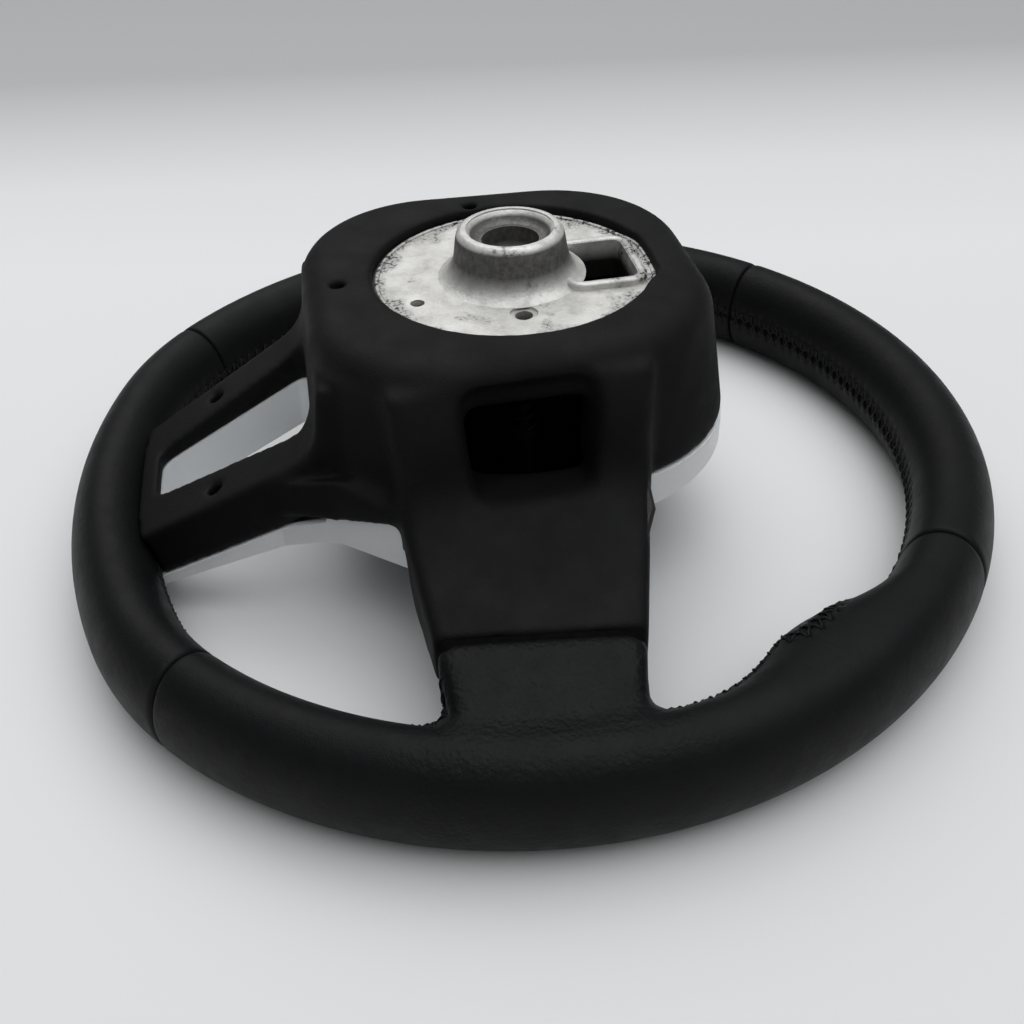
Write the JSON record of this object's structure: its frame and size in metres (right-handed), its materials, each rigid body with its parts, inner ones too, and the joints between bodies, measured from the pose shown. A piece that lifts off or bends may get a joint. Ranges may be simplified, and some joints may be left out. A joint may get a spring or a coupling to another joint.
{
  "type": "car steering wheel",
  "caption": "Leather-covered car steering wheel with a split lower spoke, moulded hub, satin trim, splined shaft boss, sprung horn pad and thumb switches on its spokes.",
  "frame": {"origin": "centre of the mouth of the pilot bore in the shaft boss", "axes": "+Z along the column axis, out of the boss and away from the driver; +Y to 12 o'clock; +X to the driver's left. The wheel lies face down."},
  "size_m": [0.37, 0.363, 0.125],
  "materials": {
    "cast_aluminium": "mottled die casting",
    "soft_black": "fine grain, matte",
    "foam": "moulded foam",
    "leather": "smooth grain, semi-matte",
    "satin_silver": "satin silver lacquer on plastic",
    "steel": "zinc plated",
    "cover_black": "fine grain, matte",
    "cushion_cloth": "folded cloth",
    "gloss_black": "gloss",
    "board": "lacquered board",
    "button_black": "fine matte"
  },
  "bodies": {
    "wheel": {"armature": "cast_aluminium", "hub_moulding": "soft_black", "rim_padding": "foam", "leather_top": "leather", "leather_foot": "leather", "leather_left": "leather", "leather_right": "leather", "front_trim": "satin_silver", "trim_screws": "steel", "switch_pack_left": "gloss_black", "switch_pack_right": "gloss_black", "switch_board_left": "board", "switch_board_right": "board", "horn_springs": "steel"},
    "horn_pad": {"horn_cover": "cover_black", "airbag_can": "steel", "airbag_cushion": "cushion_cloth", "inflator": "steel", "guide_pins": "steel"},
    "roller_left": {"thumb_roller_left": "button_black"},
    "roller_right": {"thumb_roller_right": "button_black"},
    "upper_inner_left": {"button_upper_inner_left": "button_black"},
    "upper_outer_left": {"button_upper_outer_left": "button_black"},
    "lower_inner_left": {"button_lower_inner_left": "button_black"},
    "lower_outer_left": {"button_lower_outer_left": "button_black"},
    "upper_inner_right": {"button_upper_inner_right": "button_black"},
    "upper_outer_right": {"button_upper_outer_right": "button_black"},
    "lower_inner_right": {"button_lower_inner_right": "button_black"},
    "lower_outer_right": {"button_lower_outer_right": "button_black"}
  },
  "joints": [
    {"name": "horn_press", "type": "slide", "parent": "wheel", "child": "horn_pad", "axis": [0, 0, 1], "range_m": [0, 0.003], "stiffness_N_per_m": 9000, "deforming": ["horn_springs"]},
    {"name": "roller_left_turn", "type": "hinge", "parent": "wheel", "child": "roller_left", "pos_m": [0.108, -0.016, -0.093], "axis": [1, 0, 0], "continuous": true},
    {"name": "roller_right_turn", "type": "hinge", "parent": "wheel", "child": "roller_right", "pos_m": [-0.108, -0.016, -0.093], "axis": [1, 0, 0], "continuous": true},
    {"name": "upper_inner_left_press", "type": "slide", "parent": "wheel", "child": "upper_inner_left", "axis": [0, 0, 1], "range_m": [0, 0.0012], "stiffness_N_per_m": 1500},
    {"name": "upper_outer_left_press", "type": "slide", "parent": "wheel", "child": "upper_outer_left", "axis": [0, 0, 1], "range_m": [0, 0.0012], "stiffness_N_per_m": 1500},
    {"name": "lower_inner_left_press", "type": "slide", "parent": "wheel", "child": "lower_inner_left", "axis": [0, 0, 1], "range_m": [0, 0.0012], "stiffness_N_per_m": 1500},
    {"name": "lower_outer_left_press", "type": "slide", "parent": "wheel", "child": "lower_outer_left", "axis": [0, 0, 1], "range_m": [0, 0.0012], "stiffness_N_per_m": 1500},
    {"name": "upper_inner_right_press", "type": "slide", "parent": "wheel", "child": "upper_inner_right", "axis": [0, 0, 1], "range_m": [0, 0.0012], "stiffness_N_per_m": 1500},
    {"name": "upper_outer_right_press", "type": "slide", "parent": "wheel", "child": "upper_outer_right", "axis": [0, 0, 1], "range_m": [0, 0.0012], "stiffness_N_per_m": 1500},
    {"name": "lower_inner_right_press", "type": "slide", "parent": "wheel", "child": "lower_inner_right", "axis": [0, 0, 1], "range_m": [0, 0.0012], "stiffness_N_per_m": 1500},
    {"name": "lower_outer_right_press", "type": "slide", "parent": "wheel", "child": "lower_outer_right", "axis": [0, 0, 1], "range_m": [0, 0.0012], "stiffness_N_per_m": 1500}
  ]
}
